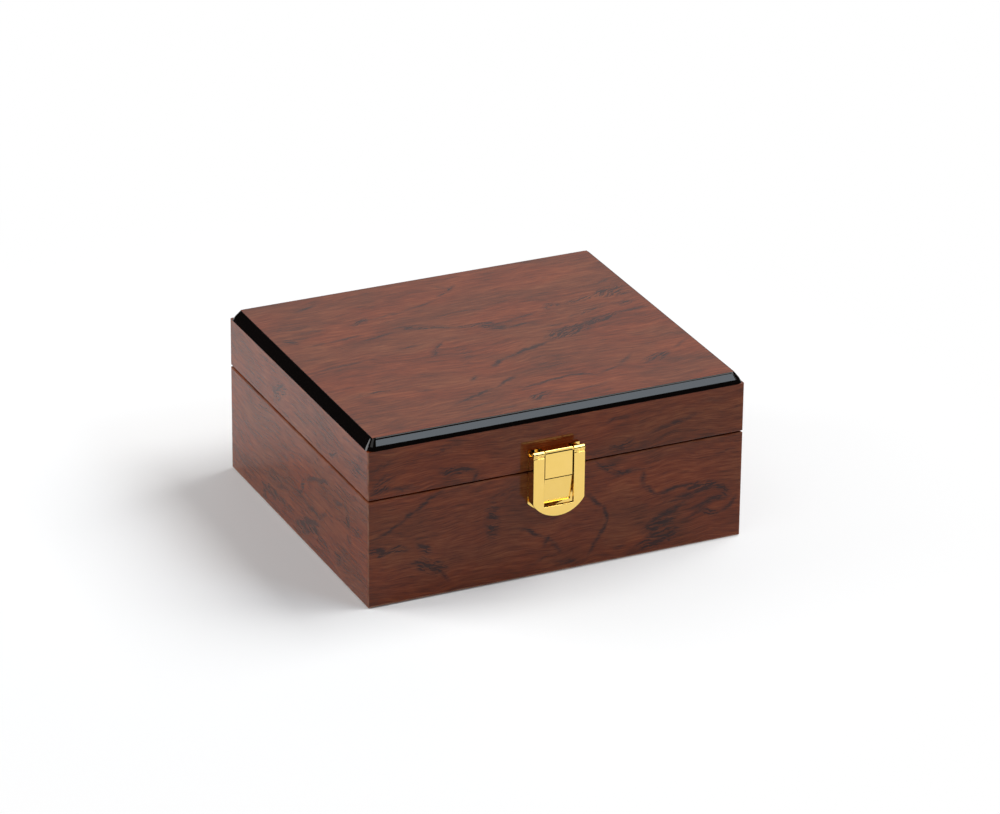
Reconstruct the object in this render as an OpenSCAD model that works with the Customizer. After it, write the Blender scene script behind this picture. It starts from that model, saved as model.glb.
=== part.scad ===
// Cufflink display box: a veneered wooden case with a bevelled black-edged lid,
// two stop hinges, a flap clasp, and a lined inside with a pair of padded rolls
// in each of its cells. The origin is the centre of the underside, +Z is up and
// -Y is the front.

/* [Case] */
// Width of the case across the front
box_w = 150; // [135:1:220]
// Depth of the case from front wall to back wall
box_d = 130; // [110:1:180]
// Height of the base from the table to its rim
base_h = 42.4; // [40:0.2:60]
// Height of the lid from its rim to its top
lid_h = 23.2; // [19:0.2:40]
// Gap between the two rims when the lid is shut
seam_gap = 0.4; // [0.2:0.1:0.8]
// Thickness of the base walls
wall_t = 9; // [8.5:0.5:12]
// Radius of the upright corner edges
corner_r = 0.6; // [0.3:0.1:1.5]
// Radius of the outer edge of both rims
rim_r = 0.7; // [0.3:0.1:1.5]

/* [Lid top] */
// Thickness of the black top panel
panel_t = 4; // [3.7:0.1:6]
// How far the bevel comes in from the side
bevel_in = 2.7; // [1.5:0.1:4]
// How far the bevel drops below the top
bevel_drop = 2.6; // [1.5:0.1:3]
// How far the eased edge below the bevel comes in from the side
edge_in = 0.6; // [0.3:0.1:1]
// Thickness of the veneer on the top
veneer_t = 0.6; // [0.3:0.1:1]
// Width of the flat black line round the veneer
veneer_line = 0.3; // [0.2:0.1:1]

/* [Underside] */
// Thickness of the floor board
floor_t = 4; // [3:0.5:6]
// Width of the rebate that the floor board sits in
rebate_w = 4; // [2:0.5:6]
// Thickness of the felt under the floor board
felt_t = 1; // [0.8:0.1:2]
// How far the felt stands below the walls
felt_proud = 0.4; // [0.2:0.1:0.6]

/* [Lining] */
// Thickness of the lining boards in the base
lining_t = 1.6; // [1:0.1:2.5]
// How far the lining stands above the base rim to locate the lid
lip_h = 2; // [1:0.1:3]
// Gap between that lip and the lid walls
lip_gap = 0.5; // [0.3:0.1:0.8]
// Thickness of the lining boards in the lid
lid_lining_t = 1.2; // [0.8:0.1:2]
// Thickness of the pad under the lid top at its crown
pad_h = 6.5; // [4:0.5:8]
// Gap left round glued boards
glue_gap = 0.05; // [0.02:0.01:0.1]

/* [Insert] */
// Thickness of the insert floor
tray_t = 1.6; // [1:0.1:3]
// Thickness of the dividers
divider_t = 2; // [1.6:0.1:3]
// Height of the dividers above the insert floor
divider_h = 27; // [22:0.5:30]
// Gap at the sides of each cross lap
lap_gap = 0.1; // [0.05:0.01:0.2]
// Height of the padded rolls
roll_h = 17; // [12:0.5:20]
// Gap between a padded roll and the walls of its cell
roll_gap = 0.5; // [0.3:0.1:1]
// Gap between soft pieces and what carries them
soft_gap = 0.2; // [0.1:0.05:0.3]

/* [Hinges] */
// Distance of the middle of each hinge from the side of the case
hinge_in = 33; // [28:1:40]
// Length of each hinge
hinge_l = 26; // [20:1:30]
// Thickness of the hinge leaves
leaf_t = 1.2; // [0.9:0.1:1.4]
// Depth of the leaves in the walls
leaf_d = 7; // [6:0.5:7]
// Radius of the hinge knuckles
knuckle_r = 2.2; // [1.9:0.1:2.6]
// Radius of the hinge pins
pin_r = 0.8; // [0.6:0.05:1]
// Gap between a knuckle and the back of the case
knuckle_stand = 0.2; // [0.15:0.05:0.4]
// Gap between neighbouring knuckles
knuckle_gap = 0.2; // [0.1:0.05:0.3]
// Length of the stop tails behind the knuckles
tail_l = 2.6; // [2:0.1:4]
// Opening angle at which the tails meet
stop_angle = 95; // [90:1:105]

/* [Clasp] */
// Place of the clasp along the front, from the middle
clasp_x = -2.4; // [-20:0.1:20]
// Width of the clasp
clasp_w = 20.4; // [19:0.1:24]
// Width of the window in the flap
window_w = 11.8; // [9:0.1:12]
// Thickness of the two plates on the walls
mount_t = 1; // [0.8:0.1:1.2]
// Thickness of the flap
flap_t = 1.3; // [1:0.1:1.5]
// Thickness of the flap's side flanges
flange_t = 0.9; // [0.7:0.1:1.1]
// How far the flap's face stands off the wall
flap_proud = 5.8; // [5.4:0.1:7]
// Radius of the clasp knuckles
roller_r = 1.1; // [1:0.05:1.4]
// Radius of the clasp pin
clasp_pin_r = 0.6; // [0.45:0.05:0.7]
// Height of the clasp knuckles' top above the seam
clasp_up = 9.7; // [9:0.1:12]
// Height of the lid plate's top edge above the seam
plate_up = 9; // [8:0.1:11]
// Depth of the flap's round tip below the seam
tip_down = 16.6; // [15:0.1:19]
// Depth below the seam at which the flap's sides begin to round
side_down = 10.9; // [10:0.1:12]
// Depth of the window's lower edge below the seam
window_down = 12.4; // [12.2:0.1:13]
// Depth below the seam at which the base plate's sides begin to round
plate_down = 12.1; // [11:0.1:13]
// Depth below the seam of the joint between boss and catch
split_down = 1.6; // [1.3:0.1:2.5]
// Depth of the catch's lower edge below the seam
catch_down = 11.7; // [10:0.1:11.9]
// How far the boss lies behind the flap's face
boss_in = 0.5; // [0.3:0.1:1]
// How far the catch's upper edge lies behind the boss
catch_in = 0.4; // [0.3:0.1:0.8]
// How much further the catch slants in at its lower edge
catch_slant = 1.1; // [0.5:0.1:1.5]

/* [Fits] */
// Radial gap between every pin and its bore
pin_gap = 0.05; // [0.03:0.01:0.1]
// Running gap between the clasp's parts
clasp_gap = 0.2; // [0.15:0.01:0.3]
// Gap at each side of the boss and the catch in the window
boss_gap = 0.5; // [0.3:0.05:0.8]
// Gap round the screws
screw_gap = 0.03; // [0.02:0.01:0.06]
// Radius of the screws' shanks
screw_r = 0.7; // [0.5:0.05:0.8]
// Radius of the screws' heads
head_r = 1.4; // [1.1:0.05:1.5]
// Length of the screws
screw_l = 6.5; // [5:0.5:8]

/* [Hidden] */
$fn = 48;
over = 1;
columns = 4;
rows = 3;
arc_steps = 5;

seam_z = base_h + seam_gap / 2;
lid_z = base_h + seam_gap;
top_z = lid_z + lid_h;
panel_z = top_z - panel_t;
walls_z = felt_proud;
floor_z = felt_t;
floor_top = floor_z + floor_t;

lid_wall_t = wall_t - lip_gap;
lip_z = base_h + lip_h;
lid_lining_z = lip_z + seam_gap + lip_gap;

inside_w = box_w - 2 * wall_t;
inside_d = box_d - 2 * wall_t;
lid_inside_w = box_w - 2 * lid_wall_t;
lid_inside_d = box_d - 2 * lid_wall_t;

insert_w = inside_w - 2 * lining_t - 4 * glue_gap;
insert_d = inside_d - 2 * lining_t - 4 * glue_gap;
tray_top = floor_top + tray_t;
cell_w = (insert_w - (columns - 1) * divider_t) / columns;
cell_d = (insert_d - (rows - 1) * divider_t) / rows;

hinge_x = box_w / 2 - hinge_in;
hinge_y = box_d / 2 + knuckle_stand + knuckle_r;
knuckles = 5;
barrel_l = hinge_l - 2 * knuckle_gap;
knuckle_l = (barrel_l - (knuckles - 1) * knuckle_gap) / knuckles;
tail_r = knuckle_r + 2 * knuckle_gap;
pin_head_t = 0.7;
screw_spread = hinge_l / 2 - 5;
cone_h = head_r - screw_r;

wall_y = -box_d / 2;
face_y = wall_y - flap_proud;
boss_y = face_y + boss_in;
catch_y = boss_y + catch_in;
plate_y = wall_y - mount_t;
roller_y = face_y + roller_r;
roller_z = seam_z + clasp_up - roller_r;
groove = 0.25;
leg_top = roller_z - roller_r - groove;
leg_w = (clasp_w - window_w) / 2;
boss_w = window_w - 2 * boss_gap;
screw_x = boss_w / 2 + (clasp_w / 2 - flange_t - boss_w / 2) / 2;
lid_screw_z = seam_z + plate_up / 2;
base_screw_z = seam_z - catch_down / 2;

veneer_brown = "#7A4A38";
lacquer_black = "#141212";
velvet_black = "#24211F";
satin_cream = "#D9CBB2";
bright_gold = "#E8C25A";
brass = "#C9A24B";
felt_black = "#2A2A2A";

// Points of an arc about (cx, cy) from angle a0 to a1
function arc(cx, cy, r, a0, a1) = [
  for (i = [0:arc_steps])
    let (a = a0 + (a1 - a0) * i / arc_steps) [cx + r * cos(a), cy + r * sin(a)]
];

// Extrudes a (y, z) outline along X, centred
module along_x(length) {
  translate([-length / 2, 0, 0])
    rotate([90, 0, 90])
      linear_extrude(length)
        children();
}

// Column over the whole case with its upright edges rounded
module case_column(w, d, z0, z1, r) {
  translate([0, 0, z0])
    linear_extrude(z1 - z0) {
      square([w - 2 * r, d], center = true);
      square([w, d - 2 * r], center = true);
      for (sx = [-1, 1], sy = [-1, 1])
        translate([sx * (w / 2 - r), sy * (d / 2 - r)])
          circle(r);
    }
}

// Front board of a case w wide and d deep, with its ends mitred at 45 degrees;
// the child is the board's section, with y counted inwards from the outer face
module mitred_board(w, d, t, z0, z1) {
  intersection() {
    translate([0, -d / 2, 0])
      along_x(w + 2 * over)
        children();
    translate([0, 0, z0 - over])
      linear_extrude(z1 - z0 + 2 * over)
        polygon([
          [-w / 2, -d / 2], [w / 2, -d / 2],
          [w / 2 - t, -d / 2 + t], [-w / 2 + t, -d / 2 + t]
        ]);
    case_column(w, d, z0 - over, z1 + over, corner_r);
  }
}

// Section of a base wall: rounded outer edges and a rebate for the floor board
module base_wall_section() {
  foot_r = rim_r / 2;
  polygon(concat(
    arc(foot_r, walls_z + foot_r, foot_r, 270, 180),
    arc(rim_r, base_h - rim_r, rim_r, 180, 90),
    [
      [wall_t, base_h], [wall_t, floor_top],
      [wall_t - rebate_w, floor_top], [wall_t - rebate_w, walls_z]
    ]
  ));
}

// Section of a lid wall: a rounded outer edge at the rim, flat under the panel
module lid_wall_section() {
  polygon(concat(
    arc(rim_r, lid_z + rim_r, rim_r, 270, 180),
    [[0, panel_z], [lid_wall_t, panel_z], [lid_wall_t, lid_z]]
  ));
}

module base_wall(w, d) {
  mitred_board(w, d, wall_t, walls_z, base_h)
    base_wall_section();
}

module lid_wall(w, d) {
  mitred_board(w, d, lid_wall_t, lid_z, panel_z)
    lid_wall_section();
}

// Places a child made for the front at the back, left or right
module at_back() {
  mirror([0, 1, 0])
    children();
}

module at_left() {
  rotate([0, 0, -90])
    children();
}

module at_right() {
  rotate([0, 0, 90])
    children();
}

// Countersunk screw: head at the origin, shank along +Z, slot across its head
module screw(length, slot_turn) {
  difference() {
    union() {
      cylinder(h = cone_h, r1 = head_r, r2 = screw_r);
      translate([0, 0, cone_h - 0.1])
        cylinder(h = length - cone_h - screw_r + 0.1, r = screw_r);
      translate([0, 0, length - screw_r])
        cylinder(h = screw_r, r1 = screw_r, r2 = screw_r / 4);
    }
    rotate([0, 0, slot_turn])
      translate([-2 * head_r, -head_r / 8, -over])
        cube([4 * head_r, head_r / 4, over + head_r / 5]);
  }
}

// Hole for that screw with a gap all round, open above its head
module screw_hole(length) {
  translate([0, 0, -over])
    cylinder(h = over + screw_gap, r = head_r + screw_gap);
  translate([0, 0, screw_gap])
    cylinder(h = cone_h, r1 = head_r + screw_gap, r2 = screw_r + screw_gap);
  cylinder(h = length + 2 * screw_gap, r = screw_r + screw_gap);
}

// Places a child at each screw of both hinges, head at height z
module hinge_screw_places(z) {
  for (side = [-1, 1], k = [-1, 0, 1])
    translate([side * hinge_x + k * screw_spread, box_d / 2 - leaf_d / 2, z])
      children();
}

// Places a child at the two screws of a clasp plate, shank into the wall
module clasp_screw_places(z) {
  for (side = [-1, 1])
    translate([clasp_x + side * screw_x, plate_y, z])
      rotate([-90, 0, 0])
        children();
}

// Mortises for the hinge leaves, from height z0 to z1
module mortises(z0, z1) {
  for (side = [-1, 1])
    translate([
      side * hinge_x - hinge_l / 2 - glue_gap,
      box_d / 2 - leaf_d - glue_gap,
      z0
    ])
      cube([hinge_l + 2 * glue_gap, leaf_d + glue_gap + over, z1 - z0]);
}

module base_front_wall() {
  color(veneer_brown)
    difference() {
      base_wall(box_w, box_d);
      clasp_screw_places(base_screw_z)
        screw_hole(screw_l);
    }
}

module base_back_wall() {
  color(veneer_brown)
    difference() {
      at_back()
        base_wall(box_w, box_d);
      mortises(base_h - leaf_t, base_h + over);
      hinge_screw_places(base_h)
        mirror([0, 0, 1])
          screw_hole(screw_l);
    }
}

module base_left_wall() {
  color(veneer_brown)
    at_left()
      base_wall(box_d, box_w);
}

module base_right_wall() {
  color(veneer_brown)
    at_right()
      base_wall(box_d, box_w);
}

// Floor board in the rebate of the four walls
module base_floor_board() {
  w = inside_w + 2 * rebate_w - 2 * glue_gap;
  d = inside_d + 2 * rebate_w - 2 * glue_gap;
  color(veneer_brown)
    translate([-w / 2, -d / 2, floor_z])
      cube([w, d, floor_t]);
}

// Felt glued under the floor board, which the box stands on
module base_felt() {
  w = inside_w + 2 * rebate_w - 4 * glue_gap;
  d = inside_d + 2 * rebate_w - 4 * glue_gap;
  color(felt_black)
    case_column(w, d, 0, felt_t, corner_r);
}

// Lining board w long, standing inside a front wall whose inner face is at y
module lining_board(w, y, t, z0, z1) {
  r = t * 0.45;
  color(velvet_black)
    translate([0, y + glue_gap, 0])
      along_x(w)
        polygon(concat(
          [[0, z0]],
          arc(r, z1 - r, r, 180, 90),
          arc(t - r, z1 - r, r, 90, 0),
          [[t, z0]]
        ));
}

module base_lining_front() {
  lining_board(inside_w - 2 * glue_gap, -inside_d / 2, lining_t, floor_top, lip_z);
}

module base_lining_back() {
  at_back()
    base_lining_front();
}

module base_lining_left() {
  at_left()
    lining_board(insert_d + glue_gap, -inside_w / 2, lining_t, floor_top, lip_z);
}

module base_lining_right() {
  mirror([1, 0, 0])
    base_lining_left();
}

module insert_floor() {
  color(velvet_black)
    translate([-insert_w / 2, -insert_d / 2, floor_top])
      cube([insert_w, insert_d, tray_t]);
}

// Divider l long with open slots of half its height at the given places
module divider(l, slots, from_top) {
  r = divider_t * 0.4;
  half = divider_h / 2;
  color(velvet_black)
    translate([0, 0, tray_top])
      difference() {
        along_x(l)
          polygon(concat(
            [[-divider_t / 2, 0]],
            arc(-divider_t / 2 + r, divider_h - r, r, 180, 90),
            arc(divider_t / 2 - r, divider_h - r, r, 90, 0),
            [[divider_t / 2, 0]]
          ));
        for (x = slots)
          translate([
            x - divider_t / 2 - lap_gap,
            -divider_t,
            from_top ? half - lap_gap : -over
          ])
            cube([divider_t + 2 * lap_gap, 2 * divider_t, half + lap_gap + over]);
      }
}

function column_x(i) = -insert_w / 2 + i * (cell_w + divider_t) - divider_t / 2;
function row_y(i) = -insert_d / 2 + i * (cell_d + divider_t) - divider_t / 2;

module long_divider(i) {
  translate([0, row_y(i), 0])
    divider(insert_w, [for (k = [1:columns - 1]) column_x(k)], true);
}

module cross_divider(i) {
  translate([column_x(i), 0, 0])
    rotate([0, 0, 90])
      divider(insert_d, [for (k = [1:rows - 1]) row_y(k)], false);
}

// Height of a roll's section over its width, t from 0 to 1, boxy and full
function roll(t) = pow(max(0, 1 - pow(abs(2 * t - 1), 3)), 0.5);

// Closed pad between two grids of points: top(u, v) over under(u, v), each of
// them drawn in between the corners, with a narrow band round the edge
module pad_shell(us, vs, half_w, half_d, draw, heights_top, heights_under) {
  nu = len(us);
  nv = len(vs);
  top = [
    for (j = [0:nv - 1], i = [0:nu - 1])
      let (u = us[i], v = vs[j]) [
        half_w * u * (1 - draw * (1 - v * v) * u * u),
        half_d * v * (1 - draw * (1 - u * u) * v * v),
        heights_top[j][i]
      ]
  ];
  under = [
    for (j = [0:nv - 1], i = [0:nu - 1])
      [top[j * nu + i][0], top[j * nu + i][1], heights_under[j][i]]
  ];
  n = nu * nv;
  rim = concat(
    [for (i = [0:nu - 2]) i],
    [for (j = [0:nv - 2]) j * nu + nu - 1],
    [for (i = [nu - 1:-1:1]) (nv - 1) * nu + i],
    [for (j = [nv - 1:-1:1]) j * nu]
  );
  m = len(rim);
  faces = concat(
    [for (j = [0:nv - 2], i = [0:nu - 2], h = [0, 1])
      let (p = j * nu + i) h == 0 ? [p, p + nu, p + 1] : [p + 1, p + nu, p + nu + 1]],
    [for (j = [0:nv - 2], i = [0:nu - 2], h = [0, 1])
      let (p = n + j * nu + i) h == 0 ? [p, p + 1, p + nu] : [p + 1, p + nu + 1, p + nu]],
    [for (k = [0:m - 1], h = [0, 1])
      let (a = rim[k], b = rim[(k + 1) % m]) h == 0 ? [a, b, b + n] : [a, b + n, a + n]]
  );
  polyhedron(points = concat(top, under), faces = faces, convexity = 6);
}

// Pair of padded rolls in the cell of column c and row r: the post of a
// cufflink goes down between them
module padded_rolls(c, r) {
  half_w = cell_w / 2 - roll_gap;
  half_d = cell_d / 2 - roll_gap;
  z0 = tray_top + soft_gap;
  mid = z0 + roll_h * 0.3;
  band = 0.4;
  slit = 0.02;
  us = [-1, -0.9, -0.55, 0, 0.55, 0.9, 1];
  ts = [0, 0.04, 0.16, 0.38, 0.62, 0.84, 0.96, 1];
  vs = concat(
    [for (k = [7:-1:0]) -(slit + (1 - slit) * ts[k])],
    [for (k = [0:7]) slit + (1 - slit) * ts[k]]
  );
  x = column_x(c) + divider_t / 2 + cell_w / 2;
  y = row_y(r) + divider_t / 2 + cell_d / 2;
  color(velvet_black)
    translate([x, y, 0])
      pad_shell(
        us, vs, half_w, half_d, 0.04,
        [for (v = vs) [for (u = us)
          mid + band + (z0 + roll_h - mid - band)
            * roll((abs(v) - slit) / (1 - slit)) * pow(1 - pow(abs(u), 5), 0.5)]],
        [for (v = vs) [for (u = us)
          abs(u) == 1 || abs(v) == 1 ? mid - band : z0]]
      );
}

module lid_front_wall() {
  color(veneer_brown)
    difference() {
      lid_wall(box_w, box_d);
      clasp_screw_places(lid_screw_z)
        screw_hole(screw_l);
    }
}

module lid_back_wall() {
  color(veneer_brown)
    difference() {
      at_back()
        lid_wall(box_w, box_d);
      mortises(lid_z - over, lid_z + leaf_t);
      hinge_screw_places(lid_z)
        screw_hole(screw_l);
    }
}

module lid_left_wall() {
  color(veneer_brown)
    at_left()
      lid_wall(box_d, box_w);
}

module lid_right_wall() {
  color(veneer_brown)
    at_right()
      lid_wall(box_d, box_w);
}

// Section of the top panel over a width w: an eased edge up to the bevel
module bevelled_section(w) {
  bevel_z = top_z - bevel_drop;
  polygon([
    [-w / 2, panel_z], [-w / 2 + edge_in, bevel_z], [-w / 2 + bevel_in, top_z],
    [w / 2 - bevel_in, top_z], [w / 2 - edge_in, bevel_z], [w / 2, panel_z]
  ]);
}

// Black lacquered panel on the lid walls, bevelled all round, with a shallow
// bed for the veneer
module lid_top_panel() {
  bed_w = box_w - 2 * bevel_in - 2 * veneer_line;
  bed_d = box_d - 2 * bevel_in - 2 * veneer_line;
  color(lacquer_black)
    difference() {
      intersection() {
        along_x(box_w)
          bevelled_section(box_d);
        rotate([0, 0, 90])
          along_x(box_d)
            bevelled_section(box_w);
        case_column(box_w, box_d, panel_z - over, top_z + over, corner_r);
      }
      translate([-bed_w / 2, -bed_d / 2, top_z - veneer_t])
        cube([bed_w, bed_d, veneer_t + over]);
    }
}

module lid_top_veneer() {
  w = box_w - 2 * bevel_in - 2 * veneer_line - 2 * glue_gap;
  d = box_d - 2 * bevel_in - 2 * veneer_line - 2 * glue_gap;
  color(veneer_brown)
    translate([-w / 2, -d / 2, top_z - veneer_t])
      cube([w, d, veneer_t]);
}

// Lid lining board, hung from the panel with its rounded edge down
module lid_lining(w, y) {
  translate([0, 0, lid_lining_z + panel_z])
    mirror([0, 0, 1])
      lining_board(w, y, lid_lining_t, lid_lining_z, panel_z);
}

module lid_lining_front() {
  lid_lining(lid_inside_w - 2 * glue_gap, -lid_inside_d / 2);
}

module lid_lining_back() {
  at_back()
    lid_lining_front();
}

module lid_lining_left() {
  at_left()
    lid_lining(lid_inside_d - 2 * lid_lining_t - 4 * glue_gap, -lid_inside_w / 2);
}

module lid_lining_right() {
  mirror([1, 0, 0])
    lid_lining_left();
}

// Padded satin panel under the lid top, crowned downwards
module lid_pad() {
  half_w = lid_inside_w / 2 - lid_lining_t - glue_gap - roll_gap;
  half_d = lid_inside_d / 2 - lid_lining_t - glue_gap - roll_gap;
  z1 = panel_z - soft_gap;
  edge = 1.2;
  us = [-1, -0.97, -0.88, -0.7, -0.4, 0, 0.4, 0.7, 0.88, 0.97, 1];
  flat = [for (v = us) [for (u = us) z1]];
  crown = [for (v = us) [for (u = us)
    z1 - edge - (pad_h - edge) * pow((1 - pow(u, 4)) * (1 - pow(v, 4)), 0.45)]];
  color(satin_cream)
    pad_shell(us, us, half_w, half_d, 0.01, flat, crown);
}

// Start of the knuckle k along the hinge
function knuckle_x(k) = -barrel_l / 2 + k * (knuckle_l + knuckle_gap);

// One leaf of a hinge about the pin's axis, with its knuckles from first in
// steps of two, and a stop tail that leaves the axis at the angle stop_angle / 2
module hinge_leaf(first) {
  low = -seam_gap / 2 - leaf_t;
  front = -knuckle_r - knuckle_stand - leaf_d;
  clear = -knuckle_r - knuckle_stand + knuckle_gap / 4;
  difference() {
    union() {
      translate([-hinge_l / 2, front, low])
        cube([hinge_l, clear - front, leaf_t]);
      for (k = [first:2:knuckles - 1])
        translate([knuckle_x(k), 0, 0]) {
          translate([0, clear - 0.1, low])
            cube([knuckle_l, -clear, leaf_t]);
          rotate([0, 90, 0])
            cylinder(h = knuckle_l, r = knuckle_r);
          rotate([-stop_angle / 2, 0, 0])
            translate([0, 0, -leaf_t])
              cube([knuckle_l, tail_r + 0.1, leaf_t]);
        }
      rotate([-stop_angle / 2, 0, 0])
        translate([-hinge_l / 2, tail_r, -leaf_t])
          cube([hinge_l, tail_l, leaf_t]);
    }
    translate([-hinge_l, 0, 0])
      rotate([0, 90, 0])
        cylinder(h = 2 * hinge_l, r = pin_r + pin_gap);
  }
}

module hinge_base_leaf(side) {
  color(brass)
    difference() {
      translate([side * hinge_x, hinge_y, seam_z])
        hinge_leaf(0);
      hinge_screw_places(base_h)
        mirror([0, 0, 1])
          screw_hole(screw_l);
    }
}

module hinge_lid_leaf(side) {
  color(brass)
    difference() {
      translate([side * hinge_x, hinge_y, seam_z])
        mirror([0, 0, 1])
          hinge_leaf(1);
      hinge_screw_places(lid_z)
        screw_hole(screw_l);
    }
}

// Hinge pin with a domed head at each end
module hinge_pin(side) {
  shaft = barrel_l + 2 * knuckle_gap;
  color(brass)
    translate([side * hinge_x, hinge_y, seam_z])
      rotate([0, 90, 0]) {
        cylinder(h = shaft, r = pin_r, center = true);
        for (end = [-1, 1])
          translate([0, 0, end * (shaft + pin_head_t) / 2])
            cylinder(h = pin_head_t, r = pin_r * 1.8, center = true);
      }
}

module hinge_base_screws() {
  color(brass)
    hinge_screw_places(base_h)
      mirror([0, 0, 1])
        screw(screw_l, 35);
}

module hinge_lid_screws() {
  color(brass)
    hinge_screw_places(lid_z)
      screw(screw_l, 80);
}

// Shield as wide as the clasp, seen from the front: straight sides from the
// height high down to the depth straight below the seam, then a wide arc
module shield(high, straight) {
  half = clasp_w / 2;
  rise = tip_down - straight;
  tip_r = (half * half + rise * rise) / (2 * rise);
  low = seam_z - straight;
  translate([-half, low])
    square([clasp_w, high - low]);
  intersection() {
    translate([0, seam_z - tip_down + tip_r])
      circle(tip_r, $fn = 96);
    translate([-half, low - rise - over])
      square([clasp_w, rise + over + 0.1]);
  }
}

// Stands an outline seen from the front on its back at y, t thick
module upright(y, t) {
  translate([clasp_x, y, 0])
    rotate([90, 0, 0])
      linear_extrude(t)
        children();
}

// Clasp half on the lid: its plate, the boss seen through the flap's window,
// and the middle knuckle that the flap's pin passes through
module clasp_lid_plate() {
  low = seam_z + seam_gap;
  boss_low = seam_z - split_down + clasp_gap / 2;
  color(bright_gold)
    difference() {
      union() {
        translate([clasp_x - clasp_w / 2, plate_y, low])
          cube([clasp_w, mount_t, seam_z + plate_up - low]);
        translate([clasp_x, 0, 0])
          along_x(boss_w)
            polygon([
              [plate_y + mount_t / 2, low], [plate_y - 1.5 * clasp_gap, low],
              [plate_y - 1.5 * clasp_gap, boss_low], [boss_y, boss_low],
              [boss_y, roller_z - roller_r / 2], [roller_y, roller_z + roller_r / 2],
              [plate_y + mount_t / 2, seam_z + plate_up]
            ]);
        translate([clasp_x - boss_w / 2, roller_y, roller_z])
          rotate([0, 90, 0])
            cylinder(h = boss_w, r = roller_r);
      }
      translate([clasp_x - clasp_w, roller_y, roller_z])
        rotate([0, 90, 0])
          cylinder(h = 2 * clasp_w, r = clasp_pin_r + pin_gap);
      clasp_screw_places(lid_screw_z)
        screw_hole(screw_l);
    }
}

// Clasp half on the base: a plate with a rounded foot, and on it the catch,
// which slants in downwards
module clasp_base_plate() {
  catch_low = seam_z - catch_down;
  catch_high = seam_z - split_down - clasp_gap / 2;
  color(bright_gold)
    difference() {
      union() {
        upright(wall_y, mount_t)
          shield(seam_z - seam_gap, plate_down);
        translate([clasp_x, 0, 0])
          along_x(boss_w)
            polygon([
              [plate_y + mount_t / 2, catch_low], [catch_y + catch_slant, catch_low],
              [catch_y, catch_high], [plate_y + mount_t / 2, catch_high]
            ]);
      }
      clasp_screw_places(base_screw_z)
        screw_hole(screw_l);
    }
}

// Outline of the flap's face: a shield with the window open at the top between
// the two legs
module flap_outline() {
  difference() {
    shield(leg_top, side_down);
    translate([-window_w / 2, seam_z - window_down])
      square([window_w, 4 * clasp_up]);
  }
}

// Flap that hangs from the pin over the boss and the catch
module clasp_flap() {
  back_y = plate_y - clasp_gap;
  low = seam_z - side_down;
  flange_r = 2;
  color(bright_gold)
    difference() {
      union() {
        upright(face_y + flap_t, flap_t)
          flap_outline();
        for (side = [-1, 1]) {
          translate([clasp_x + side * (clasp_w - leg_w) / 2, 0, 0]) {
            translate([-leg_w / 2, roller_y, roller_z])
              rotate([0, 90, 0])
                cylinder(h = leg_w, r = roller_r);
            translate([-leg_w / 2, face_y + groove, leg_top - groove])
              cube([leg_w, flap_t - groove, roller_r]);
          }
          translate([clasp_x + side * (clasp_w - flange_t) / 2, 0, 0])
            along_x(flange_t)
              polygon(concat(
                [[face_y + flap_t / 2, low]],
                arc(back_y - flange_r, low + flange_r, flange_r, 270, 360),
                [[back_y, leg_top], [face_y + flap_t / 2, leg_top]]
              ));
        }
      }
      translate([clasp_x - clasp_w, roller_y, roller_z])
        rotate([0, 90, 0])
          cylinder(h = 2 * clasp_w, r = clasp_pin_r + pin_gap);
    }
}

module clasp_pin() {
  color(bright_gold)
    translate([clasp_x, roller_y, roller_z])
      rotate([0, 90, 0])
        cylinder(h = clasp_w - clasp_gap, r = clasp_pin_r, center = true);
}

module clasp_lid_screws() {
  color(bright_gold)
    clasp_screw_places(lid_screw_z)
      screw(screw_l, 20);
}

module clasp_base_screws() {
  color(bright_gold)
    clasp_screw_places(base_screw_z)
      screw(screw_l, 65);
}

base_front_wall();
base_back_wall();
base_left_wall();
base_right_wall();
base_floor_board();
base_felt();
base_lining_front();
base_lining_back();
base_lining_left();
base_lining_right();
insert_floor();
long_divider(1);  // long_divider_front
long_divider(2);  // long_divider_back
cross_divider(1);  // cross_divider_left
cross_divider(2);  // cross_divider_middle
cross_divider(3);  // cross_divider_right
padded_rolls(0, 0);  // padded_rolls_a1
padded_rolls(1, 0);  // padded_rolls_a2
padded_rolls(2, 0);  // padded_rolls_a3
padded_rolls(3, 0);  // padded_rolls_a4
padded_rolls(0, 1);  // padded_rolls_b1
padded_rolls(1, 1);  // padded_rolls_b2
padded_rolls(2, 1);  // padded_rolls_b3
padded_rolls(3, 1);  // padded_rolls_b4
padded_rolls(0, 2);  // padded_rolls_c1
padded_rolls(1, 2);  // padded_rolls_c2
padded_rolls(2, 2);  // padded_rolls_c3
padded_rolls(3, 2);  // padded_rolls_c4
lid_front_wall();
lid_back_wall();
lid_left_wall();
lid_right_wall();
lid_top_panel();
lid_top_veneer();
lid_lining_front();
lid_lining_back();
lid_lining_left();
lid_lining_right();
lid_pad();
hinge_base_leaf(-1);  // left_hinge_base_leaf
hinge_lid_leaf(-1);  // left_hinge_lid_leaf
hinge_pin(-1);  // left_hinge_pin
hinge_base_leaf(1);  // right_hinge_base_leaf
hinge_lid_leaf(1);  // right_hinge_lid_leaf
hinge_pin(1);  // right_hinge_pin
hinge_base_screws();
hinge_lid_screws();
clasp_lid_plate();
clasp_base_plate();
clasp_flap();
clasp_pin();
clasp_lid_screws();
clasp_base_screws();
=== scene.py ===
import math

import bmesh
import bpy
import numpy as np
from mathutils import Matrix, Vector


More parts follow.
